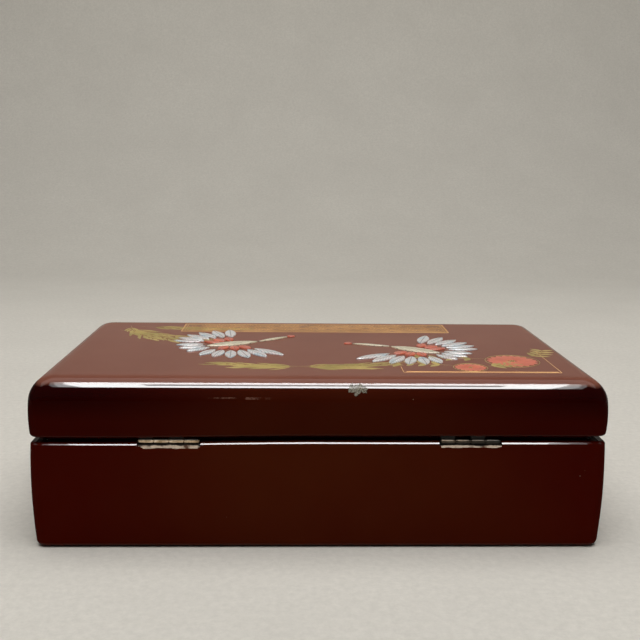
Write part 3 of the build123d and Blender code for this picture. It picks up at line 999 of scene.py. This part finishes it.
def add_waves(gold, ground):
    """Band of overlapping wave scales along the front edge, in a double border."""
    drawing = Drawing()
    near_y = WAVE_FAR_Y + 2 + WAVE_ROWS * WAVE_PITCH + 4.6
    count = int(WAVE_HALF // WAVE_R)
    for row in range(WAVE_ROWS):
        y = WAVE_FAR_Y + 2 + row * WAVE_PITCH
        shift = WAVE_R if row % 2 else 0.0
        for k in range(-count // 2, count // 2 + 1):
            x = 2 * WAVE_R * k + shift
            if abs(x) > WAVE_HALF - WAVE_R:
                continue
            for share, low in ((1.0, 18), (0.72, 8), (0.44, 8)):
                drawing.ring((x, y), WAVE_R * share, 0.7, low, 180 - low, 16)
    for inset, width in ((0.0, 0.9), (1.7, 0.35)):
        half, far, near = WAVE_HALF - inset, WAVE_FAR_Y + inset, near_y - inset
        for y in (far, near):
            drawing.stroke([(-half, y), (half, y)], width, taper=0)
        for x in (-half, half):
            drawing.stroke([(x, far), (x, near)], width, taper=0)
    drawing.finish("gold_wave_band", gold)
    columns, rows, level = 52, 8, TOP + 0.03

    def corner(i, j):
        return WAVE_HALF * (2 * i / columns - 1), WAVE_FAR_Y + (near_y - WAVE_FAR_Y) * j / rows, level

    sheet = mesh_object("gold_wave_ground", *grid(columns, rows, corner), [ground])
    place_piece(sheet, "lid", "lacquered_wood")


HAIRLINES = (
    ((-116, 62), (-40, 62), 0.4),
    ((-40, 62), (-40, 50), 0.4),
    ((-116, 62), (-116, 12), 0.4),
    ((-114.6, 60.6), (-41.4, 60.6), 0.25),
)


def add_hairlines(gold):
    """Fine gold border lines near the lid's edge."""
    drawing = Drawing()
    for start, end, width in HAIRLINES:
        drawing.stroke([start, end], width, taper=0)
    drawing.finish("gold_hairlines", gold)


def plate_outlines(name):
    """Plan outlines of a node's separate convex plates, in millimetres."""
    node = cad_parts[name]
    shape = bmesh.new()
    shape.from_mesh(node.data)
    shape.transform(node.matrix_world)
    bmesh.ops.remove_doubles(shape, verts=shape.verts, dist=1e-6)
    seen, outlines = set(), []
    for seed in shape.verts:
        if seed in seen:
            continue
        stack, island = [seed], []
        seen.add(seed)
        while stack:
            vert = stack.pop()
            island.append(vert)
            for edge in vert.link_edges:
                other = edge.other_vert(vert)
                if other not in seen:
                    seen.add(other)
                    stack.append(other)
        upper = max(vert.co.z for vert in island)
        plan = [Vector((vert.co.x, vert.co.y)) / MM for vert in island if vert.co.z > upper - 1e-5]
        middle = sum(plan, Vector((0, 0))) / len(plan)
        plan.sort(key=lambda p: math.atan2(p.y - middle.y, p.x - middle.x))
        outlines.append(plan)
    shape.free()
    return outlines


# Rings of a carved plate from its foot up: share of its outline, share of its thickness
DOME = ((1.0, 0.0), (1.0, 0.62), (0.95, 0.80), (0.72, 0.93), (0.40, 0.99))


def carved_plates(node, material, slot):
    """A node's plates with rounded, gently domed tops, mapped along and across for their engraving."""
    heart_low, heart_high = node_box(node.replace(slot, "bone"))
    heart = Vector(((heart_low.x + heart_high.x) / 2, (heart_low.y + heart_high.y) / 2))
    low, high = node_box(node)
    thick = high.z - low.z
    verts, faces, places = [], [], []
    for plan in plate_outlines(node):
        pairs = ((a, b) for a in plan for b in plan)
        ends = max(pairs, key=lambda pair: (pair[0] - pair[1]).length)
        first, last = sorted(ends, key=lambda end: (end - heart).length)
        middle, axis = (first + last) / 2, (last - first).normalized()
        cross = Vector((-axis.y, axis.x))
        reach = (last - first).length
        width = max(abs((p - middle).dot(cross)) for p in plan) * 2
        start, count = len(verts), len(plan)
        for scale, rise in DOME:
            for p in plan:
                spot = middle + (p - middle) * scale
                verts.append((spot.x, spot.y, low.z + thick * rise))
                off = spot - middle
                places.append((off.dot(axis) / reach + 0.5, off.dot(cross) / width + 0.5))
        verts.append((middle.x, middle.y, high.z))
        places.append((0.5, 0.5))
        for ring in range(len(DOME) - 1):
            for k in range(count):
                a, b = (start + ring * count + mark % count for mark in (k, k + 1))
                faces.append((a, b, b + count, a + count))
        top = start + (len(DOME) - 1) * count
        for k in range(count):
            faces.append((top + k, top + (k + 1) % count, top + count))
    piece = mesh_object(node.replace("pieces", "carved"), verts, faces, [material])
    layer = piece.data.uv_layers.new(name="plates")
    for loop in piece.data.loops:
        layer.data[loop.index].uv = places[loop.vertex_index]
    place_piece(piece, "lid", slot, node)


# Stage and light


def add_stage():
    """Pale floor that curves up into a plain backdrop."""
    g = Graph("stage_paper")
    mottle = g.noise(9, 6, 0.7)
    fine = g.noise(260, 6, 0.75)
    tone = g.mix(g.range(mottle, 0.3, 0.7), (0.66, 0.632, 0.572), (0.61, 0.582, 0.526))
    g.feed(Base_Color=g.mix(g.range(fine, 0.36, 0.64, 0, 0.55), tone, (0.50, 0.478, 0.43)))
    g.feed(Roughness=0.9)
    near, bend_y, far, rise, half = 3000, -900, -1600, 2600, 3500
    radius = bend_y - far
    outline = [(near, 0), (bend_y, 0)]
    for step in range(1, 25):
        angle = math.radians(90 * step / 24)
        outline.append((bend_y - radius * math.sin(angle), radius * (1 - math.cos(angle))))
    outline.append((far, rise))
    verts = []
    for y, z in outline:
        verts += [(-half, y, z), (half, y, z)]
    faces = [(2 * k, 2 * k + 1, 2 * k + 3, 2 * k + 2) for k in range(len(outline) - 1)]
    mesh_object("floor", verts, faces, [g.material])


def add_light(name, place, aim, size, radiance, colour=(1, 1, 1), seen_in="both"):
    """Rectangular lamp of a given radiance, seen by rough surfaces, by gloss, or by both."""
    data = bpy.data.lights.new(name, "AREA")
    data.shape = "RECTANGLE"
    data.size, data.size_y = size[0] * MM, size[1] * MM
    data.energy = radiance * math.pi * data.size * data.size_y
    data.color = colour
    light = bpy.data.objects.new(name, data)
    light.location = Vector(place) * MM
    light.visible_diffuse = seen_in != "gloss"
    light.visible_glossy = seen_in != "rough"
    direction = (Vector(aim) - Vector(place)).normalized()
    light.rotation_euler = direction.to_track_quat("-Z", "Y").to_euler()
    scene.collection.objects.link(light)


# Overhead strips that only gloss picks up: name, middle x, middle y, length, width, radiance
STRIPS = (
    ("strip_near", -30, 575, 900, 225, 46),
    ("strip_far", -30, 155, 900, 215, 46),
    ("strip_between", -45, 362, 650, 200, 12),
    ("strip_fill_left", 352, 362, 140, 200, 46),
    ("strip_fill_right", -425, 362, 110, 200, 46),
    ("strip_end_left", 442, 365, 40, 640, 14),
    ("strip_end_right", -500, 365, 40, 640, 14),
    ("strip_tail_left", 482, 365, 40, 640, 5),
    ("strip_tail_right", -540, 365, 40, 640, 5),
    ("ceiling_glow", 0, -330, 2600, 720, 1.8),
)


def add_lights():
    """Soft overhead light, and long strips overhead that only gloss picks up."""
    warm = (1, 0.985, 0.96)
    add_light("soft_top", (0, 400, 1500), (0, 150, 0), (1600, 1600), 3.0, warm, "rough")
    add_light("backdrop_wash", (0, -300, 1100), (0, -1500, 100), (2600, 500), 1.4, warm, "rough")
    for name, x, y, length, width, radiance in STRIPS:
        add_light(name, (x, y, 1300), (x, y, 0), (length, width), radiance, seen_in="gloss")
    world = bpy.data.worlds.new("room")
    scene.world = world
    world.use_nodes = True
    background = world.node_tree.nodes["Background"]
    background.inputs["Color"].default_value = (1, 0.98, 0.95, 1)
    background.inputs["Strength"].default_value = 0.05


add_camera()
add_stage()
add_lights()

lacquer = lacquer_material()
brass = brass_material()
velvet = velvet_material("claret_velvet", (0.10, 0.006, 0.012), (0.20, 0.015, 0.025))
felt = velvet_material("dark_felt", (0.012, 0.012, 0.013), (0.03, 0.03, 0.032), tooth=1400, sheen=0.2)

add_base_shell(lacquer, raw_wood_material())
add_lid_shell(lacquer)
add_hinges(brass)
add_interior(velvet, felt, satin_material())

olive_gold = gold_material("olive_gold", (0.26, 0.19, 0.045), (0.42, 0.31, 0.09), 0.62)
brown_gold = gold_material("brown_gold", (0.50, 0.25, 0.08), (0.66, 0.37, 0.13), 0.62)
coral = enamel_material("coral", (0.52, 0.075, 0.03), (0.68, 0.14, 0.06))
bone = enamel_material("bone", (0.60, 0.52, 0.36), (0.76, 0.68, 0.50))
shell = shell_material()
rng = random.Random(5)
ground_gold = gold_material("ground_gold", (0.20, 0.085, 0.030), (0.30, 0.135, 0.050), 0.56)
add_waves(brown_gold, ground_gold)
add_reeds(olive_gold, rng)
add_blossoms(coral, olive_gold, rng)
add_hairlines(brown_gold)
for side in ("left", "right"):
    for finish, material in (("bone", bone), ("coral", coral), ("shell", shell)):
        carved_plates(f"crane_{side}_{finish}_pieces", material, finish)

finishes = {"hinge": brass, "lid_mirror": mirror_material(), "base_bottom_panel": board_material()}
for name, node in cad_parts.items():
    for start, material in finishes.items():
        if name.startswith(start):
            node.data.materials.clear()
            node.data.materials.append(material)
